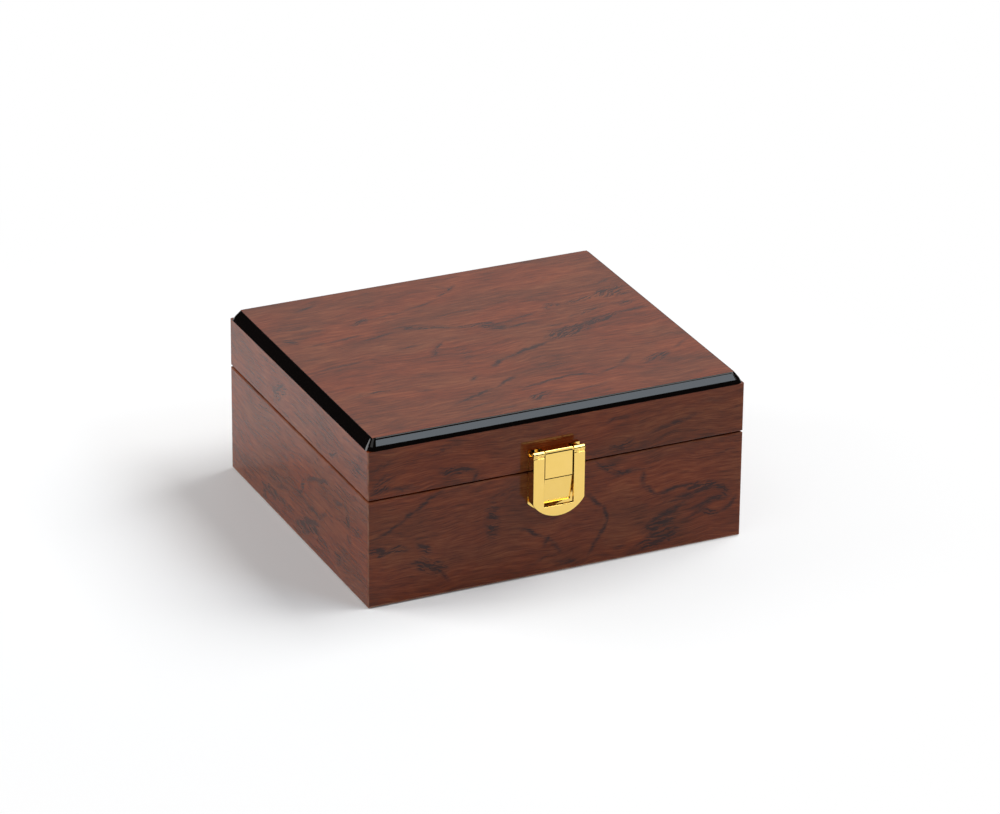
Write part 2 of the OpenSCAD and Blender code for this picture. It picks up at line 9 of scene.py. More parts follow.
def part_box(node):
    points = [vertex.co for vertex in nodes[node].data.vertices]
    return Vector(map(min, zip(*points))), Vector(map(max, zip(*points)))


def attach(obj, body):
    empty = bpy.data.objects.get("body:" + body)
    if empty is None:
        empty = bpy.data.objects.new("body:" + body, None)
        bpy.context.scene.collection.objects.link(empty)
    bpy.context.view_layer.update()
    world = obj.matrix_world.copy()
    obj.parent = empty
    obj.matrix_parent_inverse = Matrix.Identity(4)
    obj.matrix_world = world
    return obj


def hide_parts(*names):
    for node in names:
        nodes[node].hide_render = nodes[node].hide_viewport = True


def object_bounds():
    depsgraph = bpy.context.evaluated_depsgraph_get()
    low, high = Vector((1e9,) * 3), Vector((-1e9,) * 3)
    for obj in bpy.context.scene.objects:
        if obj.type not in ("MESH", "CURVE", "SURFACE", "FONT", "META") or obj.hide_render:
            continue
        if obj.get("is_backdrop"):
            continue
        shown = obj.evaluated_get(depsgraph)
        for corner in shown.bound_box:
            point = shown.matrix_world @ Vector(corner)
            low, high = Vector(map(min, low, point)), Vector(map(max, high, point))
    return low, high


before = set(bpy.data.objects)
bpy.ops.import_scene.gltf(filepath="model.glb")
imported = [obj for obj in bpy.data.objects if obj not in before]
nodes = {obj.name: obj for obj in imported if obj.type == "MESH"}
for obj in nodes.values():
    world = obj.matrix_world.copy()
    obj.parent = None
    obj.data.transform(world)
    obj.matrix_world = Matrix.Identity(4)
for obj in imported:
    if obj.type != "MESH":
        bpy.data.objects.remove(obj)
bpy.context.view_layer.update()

# The bare case comes first: metres, +Z up, front towards -Y. Lengths below are in mm, where nothing else is
# said.
MM = 0.001
bpy.context.scene.view_settings.view_transform = "Standard"


# Camera: a long lens well back from the case, turned 25 degrees to its left
# front and looking 25 degrees down, as the case's straight edges show.
EYE = (-711.58, -1535.53, 816.54)
TURN, DIP, ROLL = (math.radians(a) for a in (-25.073, 24.678, 0.604))
LENS, SENSOR = 180.11, 36.0
SIGHT = 30000

look = Vector((-math.sin(TURN) * math.cos(DIP), math.cos(TURN) * math.cos(DIP), -math.sin(DIP)))
level = Vector((math.cos(TURN), math.sin(TURN), 0))
over = level.cross(look)
side = math.cos(ROLL) * level + math.sin(ROLL) * over
up = math.cos(ROLL) * over - math.sin(ROLL) * level
camera_data = bpy.data.cameras.new("camera")
camera_data.lens = LENS
camera_data.sensor_width = SENSOR
camera_data.clip_end = SIGHT * MM
camera = bpy.data.objects.new("camera", camera_data)
aim = Matrix((side, up, -look)).transposed().to_4x4()
camera.matrix_world = Matrix.Translation(Vector(EYE) * MM) @ aim
bpy.context.scene.collection.objects.link(camera)
bpy.context.scene.camera = camera


# Floor: a sheet of white card that runs far behind the case. Eyes and mirroring
# faces see it paler than it lights the case, and pure white away from the case.
FLOOR_HALF = 6000
FLOOR_LIT, FLOOR_SEEN = 0.80, 0.93
SHADE_X, SHADE_Y = -80, 30
SHADE_END, WHITE_FROM = 70, 310


def add(tree, kind, sockets=(), **settings):
    """Adds a shader node. Its sockets come in order, or by name or number, as values or outputs to link.

    In order, a Map Range takes its value, the low and high it comes from, and the low and high
    it goes to. By number, a Mix of colours takes its share at 0 and the colours at 6 and 7.
    """
    made = tree.nodes.new("ShaderNode" + kind)
    for key, value in settings.items():
        setattr(made, key, value)
    for key, value in sockets.items() if isinstance(sockets, dict) else enumerate(sockets):
        if isinstance(value, bpy.types.NodeSocket):
            tree.links.new(value, made.inputs[key])
        else:
            made.inputs[key].default_value = value
    return made


def blank(name):
    """A new material with no finish yet: the material, its node tree, and Object coordinates in metres."""
    material = bpy.data.materials.new(name)
    material.use_nodes = True
    material.node_tree.nodes.clear()
    return material, material.node_tree, add(material.node_tree, "TexCoord").outputs["Object"]


card, tree, spot = blank("white_card")
path = add(tree, "LightPath").outputs
seen = add(tree, "Math", (path["Is Camera Ray"], path["Is Glossy Ray"]), operation="MAXIMUM")
spot = add(tree, "VectorMath", (spot, (-SHADE_X * MM, -SHADE_Y * MM, 0)), operation="ADD").outputs[0]
far = add(tree, "VectorMath", (spot,), operation="LENGTH").outputs["Value"]
reach = (far, SHADE_END * MM, WHITE_FROM * MM, 0.0, 1.0)
glow = add(tree, "MapRange", reach, interpolation_type="SMOOTHSTEP")
lit = add(tree, "BsdfDiffuse", {"Color": (FLOOR_LIT, FLOOR_LIT, FLOOR_LIT, 1)})
paler = add(tree, "BsdfDiffuse", {"Color": (FLOOR_SEEN, FLOOR_SEEN, FLOOR_SEEN, 1)})
white = add(tree, "Emission", {"Color": (1, 1, 1, 1), "Strength": 1.0})
shown = add(tree, "MixShader", (glow.outputs[0], paler.outputs[0], white.outputs[0]))
both = add(tree, "MixShader", (seen.outputs[0], lit.outputs[0], shown.outputs[0]))
add(tree, "OutputMaterial", {"Surface": both.outputs[0]})

corners = [(x * FLOOR_HALF * MM, y * FLOOR_HALF * MM, 0) for x, y in ((-1, -1), (1, -1), (1, 1), (-1, 1))]
floor_mesh = bpy.data.meshes.new("floor")
floor_mesh.from_pydata(corners, [], [(0, 1, 2, 3)])
floor_mesh.materials.append(card)
floor = bpy.data.objects.new("floor", floor_mesh)
bpy.context.scene.collection.objects.link(floor)
floor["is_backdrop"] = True


# Studio light: a large softbox high on the right, one low on the left, a weak one
# behind that the lid's top mirrors, a small cool one that its front bevel mirrors,
# and a fill. The room round them is dim, and darker still where a face mirrors it.
def linear(hex_colour):
    """sRGB hex to linear RGBA: each channel c/255 goes through the sRGB curve."""
    c = np.array([int(hex_colour[i:i + 2], 16) for i in (1, 3, 5)]) / 255
    return (*np.where(c <= 0.04045, c / 12.92, ((c + 0.055) / 1.055) ** 2.4), 1.0)


ROOM_LIT, ROOM_MIRRORED = 0.06, 0.03
# Turn from +X and height in degrees, distance, width and height in mm, radiance, colour.
SOFTBOXES = {
    "key": (355, 55, 1400, 1100, 900, 5.4, "#FFFFFF"),
    "left": (153, 25, 1500, 800, 700, 7.4, "#FFFFFF"),
    "back": (62, 27, 1500, 1100, 800, 0.72, "#FFFFFF"),
    "bevel": (305, 43, 1390, 420, 260, 8.4, "#E8F4FF"),
    "fill": (215, 60, 1400, 700, 700, 1.8, "#FFFFFF"),
}
for name, (turn, height, distance, wide, high, radiance, colour) in SOFTBOXES.items():
    lamp = bpy.data.lights.new(name, "AREA")
    lamp.shape = "RECTANGLE"
    lamp.size, lamp.size_y = wide * MM, high * MM
    lamp.color = linear(colour)[:3]
    lamp.energy = radiance * math.pi * lamp.size * lamp.size_y
    turn, height = math.radians(turn), math.radians(height)
    away = Vector((math.cos(turn) * math.cos(height), math.sin(turn) * math.cos(height), math.sin(height)))
    aim = (-away).to_track_quat("-Z", "Y").to_matrix().to_4x4()
    holder = bpy.data.objects.new(name, lamp)
    holder.matrix_world = Matrix.Translation(away * distance * MM) @ aim
    bpy.context.scene.collection.objects.link(holder)

world = bpy.data.worlds.new("studio")
bpy.context.scene.world = world
world.use_nodes = True
tree = world.node_tree
tree.nodes.clear()
path = add(tree, "LightPath").outputs
dim = add(tree, "Background", {"Color": (ROOM_LIT, ROOM_LIT, ROOM_LIT, 1), "Strength": 1.0})
dark = add(tree, "Background", {"Color": (ROOM_MIRRORED, ROOM_MIRRORED, ROOM_MIRRORED, 1), "Strength": 1.0})
pale = add(tree, "Background", {"Color": (1, 1, 1, 1), "Strength": 1.0})
reflected = add(tree, "MixShader", (path["Is Glossy Ray"], dim.outputs[0], dark.outputs[0]))
sky = add(tree, "MixShader", (path["Is Camera Ray"], reflected.outputs[0], pale.outputs[0]))
add(tree, "OutputWorld", {"Surface": sky.outputs[0]})


# Outer walls of base and lid, and the top sheet: reddish-brown figured veneer
# on board under clear gloss lacquer. One sheet of veneer runs over both walls
# of a side, so the figure carries on across the seam.
X, Y, Z = range(3)
COAT_IOR = 1.3
COAT_WAVE = 9.0

# Tone at which each colour of the plain wood stands, and the warm and cool drifts over it.
WOOD = ((0.30, "#4C2212"), (0.50, "#6B3018"), (0.72, "#814426"))
WARM, COOL = (1.08, 0.97, 0.88, 1.0), (0.94, 1.01, 1.06, 1.0)
# Layers of the grain: length along it and pitch across it in mm, detail, share.
GRAIN = ((34.0, 12.0, 2.0, 0.46), (17.0, 1.5, 4.0, 0.62), (7.0, 0.42, 3.0, 0.80))
# Fibres of that drift, of the flecks, of the patches that flecks lie in, and of the breaks
# in thin marks: length and pitch in mm, turn in degrees, detail and rise.
DRIFT = (38.0, 20.0, 0.0, 1.0, (0.36, 0.64, 0.0, 1.0))
FLECKS = (7.0, 0.6, 4.0, 3.0, (0.54, 0.70, 0.0, 0.55))
PATCHES = (22.0, 8.0, 0.0, 2.0, (0.45, 0.62, 0.25, 1.0))
BREAKS = (3.0, 0.5, 0.0, 2.0, (0.35, 0.60, 0.45, 1.0))
# Bends of the grain, of the drift, and of the figure's marks twice over: wave and reach in mm.
FLOW, CLOUD, SWAY, TEAR = (38.0, 11.0), (20.0, 14.0), (7.0, 3.2), (1.5, 0.9)
# The pale colour at a side's ends and rims is partly bare wood and partly a painted highlight.
FLECK_BROWN, FIGURE_BLACK, PALE_WEAR_AND_HIGHLIGHT = "#3C1D15", "#241719", "#A9806A"

# A mark fades towards its rim, so it is drawn larger and darker than it should look.
MARK_LONGER, MARK_WIDER, MARK_DARKER, MARK_DARKEST = 1.25, 1.6, 1.7, 0.84
LINE_MARK = 1.0
# Strokes in wide marks: turn in degrees of the marks they belong to, and their own turn.
STROKES = {"rising": (15, 90, 27), "level": (-15, 15, 5), "falling": (-90, -15, -20)}
STROKE_LENGTH, STROKE_PITCH, STROKE_DETAIL, STROKE_RISE = 6.0, 0.8, 3.0, (0.45, 0.58, 0.16, 1.5)

# A side's ends are painted pale, partly as lacquer rubbed thin and partly as a painted highlight on the
# rounded edge, from 0.55 mm, and palest from 0.1 mm, before the end. A rim is palest over a third of its
# width, and only on the outer skin of the face.
END_PALE_FROM, END_PALEST_FROM, END_PALEST = 0.55, 0.1, 0.75
RIM_PALEST, FACE_SKIN = 0.3, 0.4
PALE_PATCH, PALE_RISE = 5.0, (0.35, 0.60, 0.35, 1.0)


def fibres(tree, vector, length, pitch, turn=0.0, detail=2.0, rise=None):
    """Noise drawn out to a length along one direction, with a pitch across it, both in mm.

    Rise, where given, is the noise's low and high, and what it smoothly gives from one to the other.
    """
    drawn = add(tree, "Mapping", {
        "Vector": vector, "Rotation": (0, 0, math.radians(turn)), "Scale": (length, pitch, 1.0),
    }, vector_type="TEXTURE").outputs[0]
    noise = {"Vector": drawn, "Scale": 1.0, "Detail": detail, "Roughness": 0.6}
    drawn = add(tree, "TexNoise", noise).outputs[0]
    if rise:
        drawn = add(tree, "MapRange", (drawn, *rise), interpolation_type="SMOOTHSTEP").outputs[0]
    return drawn


def bent(tree, vector, wave, reach):
    """The vector, pushed up to half a reach either way by noise with a wave's length, both in mm."""
    slow = add(tree, "TexNoise", {"Vector": vector, "Scale": 1 / wave, "Detail": 2.0})
    shift = add(tree, "VectorMath", (slow.outputs["Color"], (0.5, 0.5, 0.5)), operation="SUBTRACT")
    shift = add(tree, "VectorMath", (shift.outputs[0], (reach, reach, 0)), operation="MULTIPLY")
    return add(tree, "VectorMath", (vector, shift.outputs[0]), operation="ADD").outputs[0]


def plain_wood(tree, face, flow):
    """Colour of the wood without its figure: layers of grain, under a drift of warm and cool."""
    tone = 0.5 - 0.5 * sum(share for *_, share in GRAIN)
    for length, pitch, detail, share in GRAIN:
        layer = fibres(tree, flow, length, pitch, detail=detail)
        tone = add(tree, "Math", (layer, share, tone), operation="MULTIPLY_ADD").outputs[0]
    ramp = add(tree, "ValToRGB", (tone,))
    stops = ramp.color_ramp.elements
    stops.new(0.5)
    for stop, (position, colour) in zip(stops, WOOD):
        stop.position, stop.color = position, linear(colour)
    drift = fibres(tree, bent(tree, face, *CLOUD), *DRIFT)
    drift = add(tree, "Mix", {0: drift, 6: WARM, 7: COOL}, data_type="RGBA").outputs[2]
    laid = {0: 1.0, 6: ramp.outputs[0], 7: drift}
    return add(tree, "Mix", laid, data_type="RGBA", blend_type="MULTIPLY").outputs[2]


def dark_figure(tree, face, flow, marks, seed):
    """Darkness of the figure: its thin marks are broken lines, and its wide ones break into strokes."""
    ragged = bent(tree, bent(tree, face, *SWAY), *TEAR)
    sums = {"line": 0.0, **dict.fromkeys(STROKES, 0.0)}
    for mark_along, mark_across, half_length, half_width, turn, strength in marks:
        drawn = add(tree, "Mapping", {
            "Vector": ragged, "Location": (mark_along, mark_across, seed),
            "Rotation": (0, 0, math.radians(turn)),
            "Scale": (half_length * MARK_LONGER, half_width * MARK_WIDER, 1.0),
        }, vector_type="TEXTURE").outputs[0]
        blot = add(tree, "TexGradient", {"Vector": drawn}, gradient_type="SPHERICAL").outputs["Fac"]
        kind = next(kind for kind, (low, high, _) in STROKES.items() if low <= turn <= high)
        kind = "line" if half_width <= LINE_MARK else kind
        blot = (blot, strength * MARK_DARKER, sums[kind])
        sums[kind] = add(tree, "Math", blot, operation="MULTIPLY_ADD").outputs[0]
    lines = (sums["line"], fibres(tree, flow, *BREAKS))
    figure = add(tree, "Math", lines, operation="MULTIPLY").outputs[0]
    for kind, (_, _, turn) in STROKES.items():
        strokes = fibres(tree, ragged, STROKE_LENGTH, STROKE_PITCH, turn, STROKE_DETAIL, STROKE_RISE)
        strokes = (sums[kind], strokes, figure)
        figure = add(tree, "Math", strokes, operation="MULTIPLY_ADD").outputs[0]
    return add(tree, "Math", (figure, MARK_DARKEST), operation="MINIMUM").outputs[0]


def worn_and_highlit_edges(tree, mm, end, height, depth, half, rims, outside):
    """Share of pale wood at a side's ends and rims, in patches: partly lacquer rubbed thin, partly a painted
    highlight along the rounded edges.
    """
    end = add(tree, "Math", (end,), operation="ABSOLUTE").outputs[0]
    wear_and_highlight = (end, half - END_PALE_FROM, half - END_PALEST_FROM, 0.0, END_PALEST)
    wear_and_highlight = add(tree, "MapRange", wear_and_highlight).outputs[0]
    outer = add(tree, "Math", (depth, outside - FACE_SKIN), operation="GREATER_THAN").outputs[0]
    for rim_height, width, strength in rims:
        off = add(tree, "Math", (height, rim_height), operation="SUBTRACT").outputs[0]
        off = add(tree, "Math", (off,), operation="ABSOLUTE").outputs[0]
        rim = add(tree, "MapRange", (off, width, width * RIM_PALEST, 0.0, strength)).outputs[0]
        rim = add(tree, "Math", (rim, outer), operation="MULTIPLY").outputs[0]
        wear_and_highlight = add(tree, "Math", (wear_and_highlight, rim), operation="MAXIMUM").outputs[0]
    patchy = add(tree, "TexNoise", {"Vector": mm, "Scale": 1 / PALE_PATCH, "Detail": 3.0}).outputs[0]
    patchy = add(tree, "MapRange", (patchy, *PALE_RISE)).outputs[0]
    return add(tree, "Math", (wear_and_highlight, patchy), operation="MULTIPLY").outputs[0]


def veneer(name, along, across, half, seed, marks, rims=(), outside=0.0):
    """Veneer for one side. Along and across are the axes that run with and over the grain there.

    Grain and marks lie on the side's face, in mm, and turn over its rims with the veneer.
    Half is half the side's length and outside is how far out its face lies; each rim is a height, and the
    half width and strength of the pale line along it, partly worn lacquer and partly a painted highlight.
    """
    material, tree, spot = blank(name)
    mm = add(tree, "VectorMath", {0: spot, "Scale": 1 / MM}, operation="SCALE").outputs[0]
    axes = add(tree, "SeparateXYZ", (mm,)).outputs
    depth = add(tree, "Math", (axes[X + Y + Z - along - across],), operation="ABSOLUTE").outputs[0]
    climb = axes[across]
    if outside:
        inward = add(tree, "Math", (outside, depth), operation="SUBTRACT").outputs[0]
        climb = add(tree, "Math", (climb, inward), operation="ADD").outputs[0]
    face = add(tree, "CombineXYZ", (axes[along], climb, seed)).outputs[0]
    flow = bent(tree, face, *FLOW)

    wood = plain_wood(tree, face, flow)
    flecks = (fibres(tree, flow, *FLECKS), fibres(tree, face, *PATCHES))
    flecks = add(tree, "Math", flecks, operation="MULTIPLY").outputs[0]
    figure = dark_figure(tree, face, flow, marks, seed)
    # Pale ends and rims: partly lacquer rubbed thin, partly a painted highlight where the rounded edges catch
    # the light.
    wear_and_highlight = worn_and_highlit_edges(tree, mm, axes[along], axes[across], depth, half, rims, outside)
    for share, colour in ((flecks, FLECK_BROWN), (figure, FIGURE_BLACK), (wear_and_highlight, PALE_WEAR_AND_HIGHLIGHT)):
        wood = add(tree, "Mix", {0: share, 6: wood, 7: linear(colour)}, data_type="RGBA").outputs[2]

    # Gloss lacquer over it: a thick clear coat that has flowed out in slow waves.
    waves = add(tree, "TexNoise", {"Vector": mm, "Scale": 1 / COAT_WAVE, "Detail": 1.0}).outputs[0]
    flowed = add(tree, "Bump", {"Strength": 0.08, "Distance": 0.4 * MM, "Height": waves}).outputs[0]
    lacquered = add(tree, "BsdfPrincipled", {
        "Base Color": wood, "Roughness": 0.5, "Specular IOR Level": 0.0,
        "Coat Weight": 1.0, "Coat Roughness": 0.05, "Coat IOR": COAT_IOR, "Coat Normal": flowed,
    })
    add(tree, "OutputMaterial", {"Surface": lacquered.outputs[0]})
    return material


def dress(material, *names):
    """Puts one material in every slot of the named nodes of the bare case."""
    for name in names:
        mesh = nodes[name].data
        mesh.materials.clear()
        mesh.materials.append(material)


def box_mm(node):
    """Lowest and highest corners of a node of the bare case, in mm."""
    return [np.array(corner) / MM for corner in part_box(node)]


# Marks of the figure on each side: middle along and over the grain, half length and
# half width in mm, turn in degrees and strength.
FRONT_FIGURE = [
    (-70.0, 47.5, 6.0, 2.5, 40, 0.55), (-62.0, 45.3, 8.0, 1.0, -6, 0.5), (-40.0, 48.2, 7.0, 1.3, -9, 0.95),
    (-33.0, 44.8, 2.5, 0.8, 62, 0.6), (-70.0, 55.0, 6.0, 1.5, 20, 0.3), (-46.0, 58.0, 8.0, 2.0, 10, 0.25),
    (-66.0, 30.0, 8.0, 0.7, 25, 0.6), (-53.0, 38.0, 9.0, 0.7, 32, 0.65), (-59.0, 34.5, 2.0, 1.0, 20, 0.5),
    (-68.0, 22.0, 8.0, 1.5, -5, 0.95), (-53.0, 20.0, 4.0, 1.2, -45, 0.7), (-51.0, 12.5, 7.0, 2.2, -22, 1),
    (-45.0, 7.5, 3.0, 0.7, -45, 0.5), (-26.0, 25.5, 9.0, 2.3, -86, 0.5), (-20.0, 36.0, 6.0, 3.0, 30, 0.25),
    (-10.0, 18.0, 7.0, 0.7, -27, 0.75), (-4.5, 13.5, 2.5, 0.8, 60, 0.5), (0.0, 10.5, 5.0, 1.0, -50, 0.45),
    (5.0, 3.5, 8.0, 1.0, -10, 0.45), (-6.0, 6.5, 4.0, 0.6, 20, 0.35), (15.0, 26.0, 4.5, 0.8, -45, 0.65),
    (19.3, 20.0, 4.0, 0.8, -80, 0.7), (18.0, 13.5, 4.5, 0.8, 62, 0.65), (14.5, 7.5, 4.0, 0.8, 55, 0.5),
    (20.5, 38.0, 6.0, 1.3, -32, 0.75), (28.0, 35.4, 6.0, 0.8, 0, 0.65), (34.0, 31.5, 4.0, 1.0, 84, 0.55),
    (37.0, 26.0, 4.0, 1.0, -42, 0.65), (46.0, 24.3, 7.0, 0.9, 8, 0.7), (59.0, 23.5, 8.0, 1.6, -8, 0.95),
    (54.0, 21.0, 9.0, 1.0, 8, 0.7), (68.0, 20.0, 3.5, 1.5, -50, 0.8), (45.0, 15.5, 10.0, 1.0, 22, 0.8),
    (60.0, 16.5, 8.0, 0.9, 15, 0.7), (62.5, 12.7, 4.0, 1.2, -22, 0.8), (69.0, 12.5, 4.0, 0.8, 20, 0.6),
    (72.0, 15.5, 3.0, 0.8, 55, 0.5), (66.0, 17.3, 5.0, 0.7, -10, 0.5), (41.0, 11.0, 8.0, 1.8, 12, 0.85),
    (41.0, 5.5, 9.0, 2.4, 14, 1.1), (56.0, 13.0, 6.0, 0.6, 25, 0.5), (46.0, 51.0, 11.0, 0.9, 12, 0.6),
    (25.0, 46.5, 5.0, 1.6, 10, 0.6), (14.0, 45.5, 4.0, 0.8, 0, 0.35), (35.0, 44.5, 6.0, 1.0, 8, 0.35),
    (22.0, 57.0, 8.0, 1.2, 10, 0.3), (62.0, 58.0, 7.0, 1.0, -5, 0.3), (68.0, 36.0, 5.0, 0.8, 0, 0.35),
]
LEFT_FIGURE = [
    (16.5, 52.0, 7.0, 2.2, -28, 0.8), (-33.0, 48.0, 4.0, 1.2, -20, 0.6), (-55.0, 51.0, 9.0, 2.4, -10, 0.4),
    (-58.0, 57.0, 5.0, 1.0, 0, 0.4), (-19.0, 31.3, 11.0, 0.8, -14, 0.65), (-25.0, 33.0, 4.0, 0.8, -25, 0.5),
    (-11.0, 28.0, 5.0, 1.0, -22, 0.5), (-4.0, 22.5, 4.0, 1.2, -70, 0.8), (-2.0, 18.5, 3.0, 1.2, 0, 0.7),
    (-15.0, 17.3, 9.0, 0.9, 0, 0.7), (-25.0, 19.5, 4.0, 0.8, -20, 0.5), (-13.0, 11.7, 9.0, 1.0, -14, 0.85),
    (-11.0, 8.7, 10.0, 1.3, -12, 0.9), (-4.0, 5.5, 6.0, 1.8, -10, 0.9), (-22.0, 8.0, 7.0, 1.2, 5, 0.75),
    (27.0, 7.0, 8.0, 1.8, -8, 0.8), (32.0, 3.7, 3.0, 1.6, 80, 0.6), (13.0, 8.0, 10.0, 1.5, 0, 0.5),
    (20.0, 14.5, 9.0, 2.5, -10, 0.35), (-38.0, 30.5, 5.0, 0.9, -8, 0.7), (-46.0, 29.5, 6.0, 1.8, 70, 0.65),
    (-55.0, 26.0, 6.0, 1.2, -15, 0.6), (-48.0, 21.0, 4.0, 1.5, 40, 0.4), (-39.0, 9.0, 4.5, 1.4, -12, 0.7),
    (-38.0, 6.0, 3.0, 0.7, -20, 0.5), (-60.0, 19.0, 6.0, 0.8, -15, 0.35), (8.0, 33.0, 8.0, 0.8, -20, 0.25),
]
TOP_FIGURE = [
    (-49.0, 53.5, 6.0, 0.9, 20, 0.6), (-57.0, 32.5, 7.0, 0.8, 0, 0.5), (-35.0, 33.5, 4.0, 1.5, 30, 0.8),
    (-24.0, 35.0, 9.0, 0.7, 10, 0.5), (-8.0, 39.0, 8.0, 0.8, 18, 0.55), (6.0, 47.5, 6.0, 1.1, 36, 0.55),
    (5.0, 52.0, 3.0, 0.8, -30, 0.4), (-66.0, 27.0, 3.2, 1.5, -45, 0.6), (-58.0, 20.5, 5.0, 0.7, 0, 0.45),
    (-46.0, 21.5, 7.0, 0.9, 5, 0.65), (-34.0, 18.7, 8.0, 0.8, 11, 0.65), (-20.0, 21.5, 6.0, 1.6, -5, 0.55),
    (-12.0, 18.0, 8.0, 1.2, -18, 0.65), (2.0, 14.5, 7.0, 1.1, -3, 0.8), (8.0, 10.5, 5.0, 2.8, -40, 0.85),
    (18.0, 7.5, 9.0, 0.8, 8, 0.6), (22.0, 14.5, 9.0, 0.7, 12, 0.5), (36.0, 18.5, 4.0, 2.0, 20, 0.7),
    (50.0, 20.5, 10.0, 1.6, 15, 0.5), (63.0, 23.0, 7.0, 3.4, 30, 0.7), (68.0, 18.5, 4.0, 1.5, 0, 0.6),
    (33.0, -4.5, 11.0, 3.2, 15, 1.1), (50.0, 1.0, 10.0, 1.4, 18, 0.9), (64.0, 4.2, 6.0, 0.9, 2, 0.75),
    (46.0, 1.5, 9.0, 0.8, 20, 0.6), (11.0, -14.0, 12.0, 1.0, 19, 0.95), (-4.0, -20.2, 5.0, 0.9, 40, 0.85),
    (-18.0, -29.5, 3.0, 1.0, 40, 0.6), (-28.0, 5.0, 6.0, 0.6, 12, 0.55), (-17.0, 2.5, 4.0, 0.6, 40, 0.55),
    (-21.0, -3.0, 7.0, 1.5, 62, 0.3), (-58.0, -0.5, 13.0, 1.0, 6, 0.5), (-12.0, -9.0, 8.0, 2.5, 75, 0.25),
    (-23.0, -43.5, 11.0, 0.7, 20, 0.75), (-8.0, -36.8, 6.0, 0.8, 32, 0.75), (7.0, -42.3, 12.0, 0.7, 10, 0.8),
    (21.0, -42.2, 5.0, 0.7, -22, 0.7), (31.0, -42.2, 6.0, 0.6, 15, 0.5), (41.0, -36.0, 6.0, 0.8, 50, 0.45),
    (52.0, -39.0, 7.0, 2.0, 25, 0.7), (66.0, -31.0, 6.0, 0.8, 35, 0.4), (-2.0, -52.7, 6.0, 2.0, 25, 0.6),
    (16.0, -53.0, 13.0, 0.8, 7, 0.45), (-25.0, -51.5, 10.0, 0.6, 8, 0.5), (-22.0, -57.5, 20.0, 0.7, 3, 0.4),
    (-54.0, -27.0, 12.0, 1.2, 2, 0.35), (64.0, 32.0, 7.0, 0.8, 20, 0.4), (-62.0, 38.0, 8.0, 1.5, -3, 0.35),
    (49.0, 10.0, 12.0, 1.2, 18, 0.4), (64.0, 11.0, 5.0, 2.0, 20, 0.4), (30.0, 2.5, 6.0, 0.7, 3, 0.45),
    (-38.0, -32.0, 4.0, 1.0, 0, 0.4),
]
BACK_FIGURE = [
    (-52.0, 18.0, 14.0, 2.6, 18, 0.9), (-8.0, 24.0, 12.0, 1.6, -12, 0.6), (6.0, 52.0, 10.0, 1.4, 6, 0.6),
    (38.0, 14.0, 9.0, 2.8, 30, 0.8), (60.0, 33.0, 8.0, 0.8, -24, 0.6), (-30.0, 8.0, 8.0, 0.8, 9, 0.5),
]
RIGHT_FIGURE = [
    (-38.0, 30.0, 12.0, 2.2, 12, 0.8), (10.0, 12.0, 13.0, 2.8, -16, 0.9), (34.0, 50.0, 9.0, 1.4, 7, 0.6),
    (46.0, 22.0, 7.0, 0.8, 42, 0.6), (-12.0, 52.0, 8.0, 0.8, -8, 0.5), (-50.0, 8.0, 7.0, 1.6, 5, 0.6),
]

wall_low, wall_high = box_mm("base_right_wall")
WIDE, DEEP = wall_high[X], box_mm("base_back_wall")[1][Y]
FOOT, SEAM = (wall_low[Z], 0.75, 0.9), (wall_high[Z], 0.7, 0.30)
# Axes along and over the grain, half length, seed, figure, rims painted pale as wear and highlight, how far
# out the face lies.
SIDES = {
    "front": (X, Z, WIDE, 3.0, FRONT_FIGURE, (FOOT, SEAM), DEEP),
    "back": (X, Z, WIDE, 31.0, BACK_FIGURE, (FOOT, SEAM), DEEP),
    "left": (Y, Z, DEEP, 57.0, LEFT_FIGURE, (FOOT, SEAM), WIDE),
    "right": (Y, Z, DEEP, 83.0, RIGHT_FIGURE, (FOOT, SEAM), WIDE),
}
for side_name, laid in SIDES.items():
    dress(veneer(f"gloss_veneer_{side_name}", *laid), f"base_{side_name}_wall", f"lid_{side_name}_wall")
dress(veneer("gloss_veneer_top", X, Y, WIDE, 112.0, TOP_FIGURE), "lid_top_veneer")


# Top panel of the lid: board with a softened bevel on all four sides, sprayed
# with black gloss lacquer and rubbed smooth. The veneer lies in its shallow bed.
# The edge leans in up to the bevel, which runs in and up to a flat line round the veneer's bed.
EDGE_IN, BEVEL_IN, BEVEL_DROP, LINE, BED = 0.74, 2.7, 2.6, 0.3, 0.6
PANEL_CORNER, CORNER_SHRINK, LEAST_CORNER = 3.2, 0.6, 0.33
SOFT_EDGE, SOFT_BEVEL, SOFT_LINE = 0.3, 1.1, 0.285
MOTTLE, PEEL = 11.1, 3.85
# A narrow ring keeps the lower edge crisp, and the flat faces are closed this far in.
CREASE, MIDDLE_IN = 0.05, 9.0


def softened(points, reaches, steps=9):
    """Rounds a profile's inner corners: each becomes the quadratic curve between its two reaches."""
    made = [points[0]]
    for before, corner, after, (back, on) in zip(points, points[1:], points[2:], reaches):
        a = corner + (before - corner) / np.linalg.norm(before - corner) * back
        b = corner + (after - corner) / np.linalg.norm(after - corner) * on
        t = np.linspace(0, 1, steps)[:, None]
        made.extend((1 - t) ** 2 * a + 2 * t * (1 - t) * corner + t ** 2 * b)
    made.append(points[-1])
    return np.array(made)


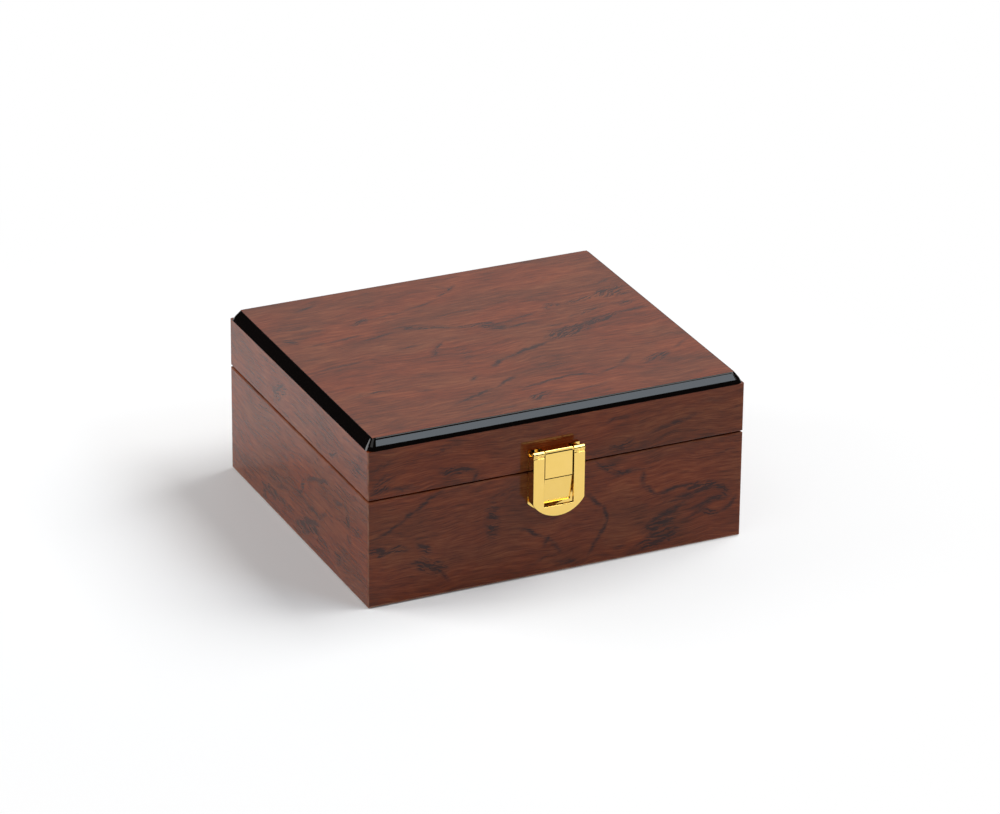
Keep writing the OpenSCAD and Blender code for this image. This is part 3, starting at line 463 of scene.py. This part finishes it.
def framed(profile, half_x, half_y, steps=10):
    """Carries an (inset, height) profile round a rectangle with rounded corners.

    A corner point lies at the corner's centre plus its radius times (cos, sin);
    the radius shrinks with the inset and never falls below the least one.
    """
    quarter = np.linspace(0, np.pi / 2, steps)
    turns = np.concatenate([quarter + k * np.pi / 2 for k in range(4)])
    sign_x = np.repeat([1, -1, -1, 1], steps)
    sign_y = np.repeat([1, 1, -1, -1], steps)
    inset, height = profile[:, :1], profile[:, 1:]
    radius = np.maximum(PANEL_CORNER - inset * CORNER_SHRINK, LEAST_CORNER)
    x = sign_x * (half_x - inset - radius) + radius * np.cos(turns)
    y = sign_y * (half_y - inset - radius) + radius * np.sin(turns)
    return np.stack([x, y, height + 0 * x], axis=2)


def ring_quads(count, around):
    """Point numbers of closed rings, those one step further round, and quads from ring to ring."""
    index = np.arange(count * around).reshape(count, around)
    ahead = np.roll(index, -1, axis=1)
    return index, ahead, np.stack([index[:-1], ahead[:-1], ahead[1:], index[1:]], axis=2).reshape(-1, 4)


def smooth_mesh(name, points, faces, material):
    """A mesh in metres from points in mm and its faces, shaded smooth."""
    mesh = bpy.data.meshes.new(name)
    mesh.from_pydata((points * MM).tolist(), [], faces)
    mesh.polygons.foreach_set("use_smooth", [True] * len(mesh.polygons))
    mesh.materials.append(material)
    return mesh


def show(mesh, body, slot, *replaced):
    """Adds a finished mesh as a piece of the same name, which rides on a body and stands for nodes."""
    piece = bpy.data.objects.new(mesh.name, mesh)
    bpy.context.scene.collection.objects.link(piece)
    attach(piece, body)
    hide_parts(*replaced)
    return piece


# Black nitro lacquer, sprayed and polished: a deep black with a wet gloss and a faint orange peel.
lacquer, tree, spot = blank("black_gloss_lacquer")
mottle = add(tree, "TexNoise", {"Vector": spot, "Scale": 1 / (MOTTLE * MM), "Detail": 2.0}).outputs[0]
black = add(tree, "Mix", {0: mottle, 6: linear("#060404"), 7: linear("#0B0706")}, data_type="RGBA").outputs[2]
peel = add(tree, "TexNoise", {"Vector": spot, "Scale": 1 / (PEEL * MM), "Detail": 1.0}).outputs[0]
peeled = add(tree, "Bump", {"Strength": 0.05, "Distance": 0.2 * MM, "Height": peel}).outputs[0]
sprayed = add(tree, "BsdfPrincipled", {
    "Base Color": black, "Roughness": 0.4, "Specular IOR Level": 0.0,
    "Coat Weight": 1.0, "Coat Roughness": 0.03, "Coat IOR": COAT_IOR, "Coat Normal": peeled,
})
add(tree, "OutputMaterial", {"Surface": sprayed.outputs[0]})

panel_low, panel_high = box_mm("lid_top_panel")
under, top = panel_low[Z], panel_high[Z]
bed_in = BEVEL_IN + LINE
outline = np.array([(0.0, under), (EDGE_IN, top - BEVEL_DROP), (BEVEL_IN, top), (bed_in, top)])
edge = softened(outline, ((SOFT_EDGE, SOFT_EDGE), (SOFT_BEVEL, SOFT_LINE)))
foot = [(MIDDLE_IN, under), (CREASE, under)]
profile = np.vstack([foot, edge, [(bed_in, top - BED), (MIDDLE_IN, top - BED)]])
rings = framed(profile, panel_high[X], panel_high[Y])
index, _, quads = ring_quads(*rings.shape[:2])
panel_faces = quads.tolist() + [index[0][::-1].tolist(), index[-1].tolist()]
panel_mesh = smooth_mesh("lid_top_panel_lacquered", rings.reshape(-1, 3), panel_faces, lacquer)
panel = show(panel_mesh, "lid", "black_lacquer", "lid_top_panel")
panel.modifiers.new("flats", "WEIGHTED_NORMAL").keep_sharp = True


# Underside: a fibreboard floor in the rebate of the walls, with black felt
# glued under it, on which the case stands.
CHIPS, HAIR = 0.714, 0.4

# Fibreboard, sanded: pale brown and dull, with fine dark chips.
board, tree, spot = blank("sanded_fibreboard")
chips = add(tree, "TexNoise", {"Vector": spot, "Scale": 1 / (CHIPS * MM), "Detail": 3.0}).outputs[0]
fibre = add(tree, "Mix", {0: chips, 6: linear("#A98A62"), 7: linear("#C9AD84")}, data_type="RGBA").outputs[2]
rough = add(tree, "Bump", {"Strength": 0.3, "Distance": 0.1 * MM, "Height": chips}).outputs[0]
sanded = add(tree, "BsdfPrincipled", {"Base Color": fibre, "Roughness": 0.85, "Normal": rough})
add(tree, "OutputMaterial", {"Surface": sanded.outputs[0]})
dress(board, "base_floor_board")

# Wool felt, pressed: matt grey-black and matted. Its hairs are drawn coarse, so that they show.
felt, tree, spot = blank("pressed_felt")
hair = {"Vector": spot, "Scale": 1 / (HAIR * MM), "Detail": 4.0, "Distortion": 1.5}
hair = add(tree, "TexNoise", hair).outputs[0]
matted = add(tree, "Mix", {0: hair, 6: linear("#17171A"), 7: linear("#333336")}, data_type="RGBA").outputs[2]
fuzz = add(tree, "Bump", {"Strength": 0.6, "Distance": 0.2 * MM, "Height": hair}).outputs[0]
pressed = {"Base Color": matted, "Roughness": 1.0, "Sheen Weight": 0.3, "Normal": fuzz}
add(tree, "OutputMaterial", {"Surface": add(tree, "BsdfPrincipled", pressed).outputs[0]})
dress(felt, "base_felt")


# Lining boards, insert floor and dividers: card and thin board covered in black
# velvet, glued in. The pile catches the light along edges and where it is brushed.
BRUSHED, PILE = 14.3, 0.3125

# Velvet, woven and brushed: black, with a pale sheen at a glance. Its pile is drawn
# coarse, so that it shows.
velvet, tree, spot = blank("black_velvet")
brushed = {"Vector": spot, "Scale": 1 / (BRUSHED * MM), "Detail": 3.0, "Distortion": 0.8}
brushed = add(tree, "TexNoise", brushed).outputs[0]
nap = add(tree, "Mix", {0: brushed, 6: linear("#151314"), 7: linear("#2C2829")}, data_type="RGBA").outputs[2]
pile = add(tree, "TexNoise", {"Vector": spot, "Scale": 1 / (PILE * MM), "Detail": 2.0}).outputs[0]
tufts = add(tree, "Bump", {"Strength": 0.5, "Distance": 0.15 * MM, "Height": pile}).outputs[0]
woven = add(tree, "BsdfPrincipled", {
    "Base Color": nap, "Roughness": 1.0, "Specular IOR Level": 0.15, "Normal": tufts,
    "Sheen Weight": 1.0, "Sheen Roughness": 0.30, "Sheen Tint": linear("#D6D0D8"),
})
add(tree, "OutputMaterial", {"Surface": woven.outputs[0]})
dress(velvet, "insert_floor", "long_divider_front", "long_divider_back",
      *(f"cross_divider_{place}" for place in ("left", "middle", "right")),
      *(f"{part}_lining_{place}" for part in ("base", "lid") for place in ("front", "back", "left", "right")))


# Padded rolls: in each of the twelve cells two rolls of foam in velvet, pressed
# together so that a cufflink's post holds between them. One pair is blown up as
# cloth, its underside held, and every cell gets it, turned one way or the other.
SLIT = 0.35
ROLL_STEPS, ROLL_AROUND = 46, 60
ROLL_SQUARE, ROLL_END = 0.62, 0.34
ROLL_SLACK, ROLL_HELD, ROLL_PUSH, ROLL_SPARE = (0.97, 0.90, 0.92), 1.5, 1.2, 0.05
GROWN = 10.0


def stuffed(points, faces, held, push, spare, frames=18):
    """Blows a closed skin of cloth up from within, its held points fixed; points go in and come back in mm.

    The cloth is simulated GROWN times its size, where the solver's forces suit it. Spare
    is the share by which it is cut too large, which the folds near held edges take up.
    """
    scene = bpy.context.scene
    mesh = bpy.data.meshes.new("skin")
    mesh.from_pydata((points * MM * GROWN).tolist(), [], faces)
    skin = bpy.data.objects.new("skin", mesh)
    scene.collection.objects.link(skin)
    skin.vertex_groups.new(name="held").add(held.tolist(), 1.0, "ADD")
    cloth = skin.modifiers.new("cloth", "CLOTH")
    cloth.settings.quality = 6
    cloth.settings.mass = 0.3
    cloth.settings.tension_stiffness = cloth.settings.compression_stiffness = 15.0
    cloth.settings.shear_stiffness = 5.0
    cloth.settings.bending_stiffness = 0.5
    cloth.settings.use_pressure = True
    cloth.settings.uniform_pressure_force = push
    cloth.settings.shrink_min = -spare
    cloth.settings.vertex_group_mass = "held"
    cloth.settings.effector_weights.gravity = 0.0
    cloth.collision_settings.use_collision = False
    cloth.point_cache.frame_end = frames
    for frame_number in range(1, frames + 1):
        scene.frame_set(frame_number)
    blown = skin.evaluated_get(bpy.context.evaluated_depsgraph_get()).data
    shape = np.empty(len(points) * 3)
    blown.vertices.foreach_get("co", shape)
    bpy.data.objects.remove(skin)
    scene.frame_set(1)
    return shape.reshape(-1, 3) / MM / GROWN


def signed_power(value, power):
    """The value's size to a power, with its sign."""
    return np.sign(value) * np.abs(value) ** power


def roll_pair(half):
    """Points and faces of two rounded boxes side by side, about the middle of a cell.

    x = half length * sin(p)^ROLL_SQUARE, and y, z = half size * cos(p)^ROLL_END *
    (cos, sin)(a)^ROLL_SQUARE; each ends in one point that a fan of faces closes.
    """
    p = np.linspace(-np.pi / 2, np.pi / 2, ROLL_STEPS)[:, None]
    a = np.linspace(0, 2 * np.pi, ROLL_AROUND, endpoint=False)[None, :]
    depth = (half[Y] - SLIT / 2) / 2
    fall = np.cos(p) ** ROLL_END
    x = half[X] * signed_power(np.sin(p), ROLL_SQUARE) * np.ones_like(a)
    y = depth * fall * signed_power(np.cos(a), ROLL_SQUARE)
    z = half[Z] * fall * signed_power(np.sin(a), ROLL_SQUARE)
    index, ahead, quads = ring_quads(ROLL_STEPS - 2, ROLL_AROUND)
    first, last = index.size, index.size + 1
    first_fan = np.stack([np.full(ROLL_AROUND, first), index[0], ahead[0]], axis=1)
    last_fan = np.stack([np.full(ROLL_AROUND, last), ahead[-1], index[-1]], axis=1)
    points, faces = [], []
    for number, place in enumerate((-1, 1)):
        grid = np.stack([x, y + place * (depth + SLIT / 2), z], axis=2)
        points += [grid[1:-1].reshape(-1, 3), grid[[0, -1], 0]]
        for part in (quads[:, [0, 3, 2, 1]], first_fan, last_fan):
            faces += (part + number * (last + 1)).tolist()
    return np.vstack(points), faces


low, high = box_mm("padded_rolls_a1")
half = (high - low) / 2
pair, pair_faces = roll_pair(half)
sign_y = np.sign(pair[:, Y])
middle = sign_y[:, None] * (0.0, half[Y] / 2, 0.0)
slack = (pair - middle) * ROLL_SLACK + middle
slack[:, Z] -= half[Z] * (1 - ROLL_SLACK[Z])
held = np.flatnonzero(slack[:, Z] < ROLL_HELD - half[Z])
pair = stuffed(slack, pair_faces, held, ROLL_PUSH, ROLL_SPARE)
risen = pair[:, Z] + half[Z]
risen = np.maximum(risen * min(1.0, 2 * half[Z] / risen.max()), 0.0)
across = np.clip(np.abs(pair[:, Y]), SLIT / 2, half[Y]) * sign_y
pair = np.stack([np.clip(pair[:, X], -half[X], half[X]), across, risen - half[Z]], axis=1)

# Neighbours are turned end for end or front to back, so that no two look alike.
for number, cell in enumerate(f"{row}{column}" for row in "abc" for column in (1, 2, 3, 4)):
    turned = np.array([(-1) ** (number // 2), (-1) ** (number + number // 4), 1])
    mirrored = turned[X] * turned[Y] < 0
    cell_faces = [face[::-1] for face in pair_faces] if mirrored else pair_faces
    low, high = box_mm(f"padded_rolls_{cell}")
    rolls_mesh = smooth_mesh(f"velvet_rolls_{cell}", pair * turned + (low + high) / 2, cell_faces, velvet)
    rolls = show(rolls_mesh, "base", "velvet", f"padded_rolls_{cell}")


# Lid pad: cream satin over foam, stretched on a card and glued under the top.
# It is blown up as cloth that is cut a little too large, with its turned edge held.
PAD_WIDE, PAD_DEEP = 112, 96
PAD_RIM = 1.3
PAD_SQUARE, PAD_CROWN = 4, 0.45
PAD_SLACK, PAD_PUSH, PAD_SPARE = 0.8, 0.6, 0.012
THREADS, SHADED = 1.11, 33.3

# Satin, woven: cream with a soft gloss, a little deeper in places. Its threads are
# drawn some ten times too coarse, so that they show.
satin, tree, spot = blank("cream_satin")
shaded = add(tree, "TexNoise", {"Vector": spot, "Scale": 1 / (SHADED * MM), "Detail": 2.0}).outputs[0]
cream = add(tree, "Mix", {0: shaded, 6: linear("#DFD0B2"), 7: linear("#EDE1C9")}, data_type="RGBA").outputs[2]
threads = add(tree, "TexNoise", {"Vector": spot, "Scale": 1 / (THREADS * MM), "Detail": 2.0}).outputs[0]
ribbed = add(tree, "Bump", {"Strength": 0.15, "Distance": 0.1 * MM, "Height": threads}).outputs[0]
sleek = {"Base Color": cream, "Roughness": 0.42, "Sheen Weight": 0.3, "Normal": ribbed}
add(tree, "OutputMaterial", {"Surface": add(tree, "BsdfPrincipled", sleek).outputs[0]})


def padded_card(half):
    """Points and faces of a crowned pad about its middle, its flat back up, and its held points' numbers.

    At (u, v) from -1 to 1 the crown drops from the back by the rim plus the rest of the
    depth times ((1 - u^PAD_SQUARE) * (1 - v^PAD_SQUARE))^PAD_CROWN.
    """
    u, v = np.meshgrid(np.linspace(-1, 1, PAD_WIDE), np.linspace(-1, 1, PAD_DEEP))
    swell = ((1 - u ** PAD_SQUARE) * (1 - v ** PAD_SQUARE)) ** PAD_CROWN
    drop = PAD_RIM + (2 * half[Z] - PAD_RIM) * swell * PAD_SLACK
    crown = np.stack([half[X] * u, half[Y] * v, half[Z] - drop], axis=2)
    back = np.stack([half[X] * u, half[Y] * v, np.full_like(u, half[Z])], axis=2)
    index = np.arange(u.size).reshape(u.shape)
    quads = np.stack([index[:-1, :-1], index[1:, :-1], index[1:, 1:], index[:-1, 1:]], axis=2).reshape(-1, 4)
    rim = np.concatenate([index[0, :-1], index[:-1, -1], index[-1, :0:-1], index[:0:-1, 0]])
    ahead = np.roll(rim, -1)
    wall = np.stack([rim, rim + u.size, ahead + u.size, ahead], axis=1)
    points = np.vstack([crown.reshape(-1, 3), back.reshape(-1, 3)])
    faces = np.vstack([quads, quads[:, ::-1] + u.size, wall]).tolist()
    return points, faces, np.concatenate([rim, np.arange(u.size, 2 * u.size)])


low, high = box_mm("lid_pad")
half = (high - low) / 2
cushion, pad_faces, held = padded_card(half)
cushion = stuffed(cushion, pad_faces, held, PAD_PUSH, PAD_SPARE)
drop = half[Z] - cushion[:, Z]
cushion[:, Z] = half[Z] - drop * min(1.0, 2 * half[Z] / drop.max())
cushion = np.clip(cushion, -half, half)
pad_mesh = smooth_mesh("satin_lid_pad", cushion + (low + high) / 2, pad_faces, satin)
pad = show(pad_mesh, "lid", "satin", "lid_pad")


# Hinges: stamped brass stop hinges let into both rims, on brass pins, with
# countersunk brass screws. Their edges are broken by tumbling.
# Nearer points are one and thinner faces go; faces that turn less are one flat, and
# edges that turn more, in degrees, are rounded.
WELD, SLIVER = 0.002, 0.001
FLAT_TURN, EDGE_TURN = 1.0, 35.0
LEAF_EDGE, HINGE_PIN_EDGE = 0.15, 0.2
TARNISH, DULLNESS = 6.25, (0.3, 0.7, 0.20, 0.26)


def softened_copy(node, name, material, width, body, slot, trued=None):
    """A merged copy of a node, its flat faces made whole and its edges rounded to a width in mm.

    Trued, where given, takes the copy's points in mm and gives them back filed to their last shape.
    """
    mesh = nodes[node].data.copy()
    mesh.name = name
    if trued:
        points = np.empty(len(mesh.vertices) * 3)
        mesh.vertices.foreach_get("co", points)
        mesh.vertices.foreach_set("co", (trued(points.reshape(-1, 3) / MM) * MM).ravel())
    made = bmesh.new()
    made.from_mesh(mesh)
    bmesh.ops.remove_doubles(made, verts=made.verts, dist=WELD * MM)
    bmesh.ops.dissolve_degenerate(made, edges=made.edges, dist=SLIVER * MM)
    bmesh.ops.dissolve_limit(made, angle_limit=math.radians(FLAT_TURN), verts=made.verts, edges=made.edges)
    made.to_mesh(mesh)
    made.free()
    mesh.polygons.foreach_set("use_smooth", [True] * len(mesh.polygons))
    mesh.materials.clear()
    mesh.materials.append(material)
    piece = show(mesh, body, slot, node)
    bevel = piece.modifiers.new("broken_edges", "BEVEL")
    bevel.width = width * MM
    bevel.segments = 3
    bevel.limit_method = "ANGLE"
    bevel.angle_limit = math.radians(EDGE_TURN)
    bevel.use_clamp_overlap = True
    piece.modifiers.new("flats", "WEIGHTED_NORMAL").keep_sharp = True


# Brass, stamped and polished: a soft yellow mirror that is a little duller in places.
brass, tree, spot = blank("polished_brass")
tarnish = add(tree, "TexNoise", {"Vector": spot, "Scale": 1 / (TARNISH * MM), "Detail": 3.0}).outputs[0]
yellow = {0: tarnish, 6: linear("#D8AF5A"), 7: linear("#E6C273")}
yellow = add(tree, "Mix", yellow, data_type="RGBA").outputs[2]
dull = add(tree, "MapRange", (tarnish, *DULLNESS)).outputs[0]
polished = add(tree, "BsdfPrincipled", {"Base Color": yellow, "Metallic": 1.0, "Roughness": dull})
add(tree, "OutputMaterial", {"Surface": polished.outputs[0]})

for hand in ("left", "right"):
    base_leaf, lid_leaf, pin = (f"{hand}_hinge_{part}" for part in ("base_leaf", "lid_leaf", "pin"))
    softened_copy(base_leaf, f"{hand}_base_leaf_brass", brass, LEAF_EDGE, "base", "hinge_brass")
    softened_copy(lid_leaf, f"{hand}_lid_leaf_brass", brass, LEAF_EDGE, "lid", "hinge_brass")
    softened_copy(pin, f"{pin}_brass", brass, HINGE_PIN_EDGE, "base", "hinge_brass")
dress(brass, "hinge_base_screws", "hinge_lid_screws")


# Clasp: cast and machined zinc, bright gold plated. A windowed flap hangs on a
# pin over a boss on the lid's plate and a catch on the base's plate.
BOSS_FACE_Y = -70.3
JOINT_Z, JOINT_NEAR, FILED = 41.0, 0.15, 0.18
HAZE, HAZINESS = 4.17, (0.3, 0.7, 0.09, 0.14)


def boss_trued(points):
    """Faces the boss flat up over its knuckle, and files it back from the joint with the catch."""
    points[:, Y] = np.maximum(points[:, Y], BOSS_FACE_Y)
    points[:, Z] += np.where(np.abs(points[:, Z] - JOINT_Z) < JOINT_NEAR, FILED, 0.0)
    return points


def catch_trued(points):
    """Files the catch back from the joint with the boss."""
    points[:, Z] -= np.where(np.abs(points[:, Z] - JOINT_Z) < JOINT_NEAR, FILED, 0.0)
    return points


# Gold plate on polished zinc: a clear warm mirror with a slight haze.
gold, tree, spot = blank("bright_gold_plate")
haze = add(tree, "TexNoise", {"Vector": spot, "Scale": 1 / (HAZE * MM), "Detail": 2.0}).outputs[0]
plated = add(tree, "Mix", {0: haze, 6: linear("#EEC96D"), 7: linear("#F4D07A")}, data_type="RGBA").outputs[2]
hazy = add(tree, "MapRange", (haze, *HAZINESS)).outputs[0]
bright = add(tree, "BsdfPrincipled", {"Base Color": plated, "Metallic": 1.0, "Roughness": hazy})
add(tree, "OutputMaterial", {"Surface": bright.outputs[0]})

# Each part: the body that it rides on, how wide its edges are rounded, and how it is filed.
CLASP_PARTS = {
    "clasp_flap": ("flap", 0.16, None),
    "clasp_lid_plate": ("lid", 0.30, boss_trued),
    "clasp_base_plate": ("base", 0.30, catch_trued),
    "clasp_pin": ("lid", 0.15, None),
}
for part, (body, width, trued) in CLASP_PARTS.items():
    softened_copy(part, f"{part}_gold", gold, width, body, "clasp_gold", trued)
dress(gold, "clasp_lid_screws", "clasp_base_screws")


# The box of the dressed case, in metres.
low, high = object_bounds()
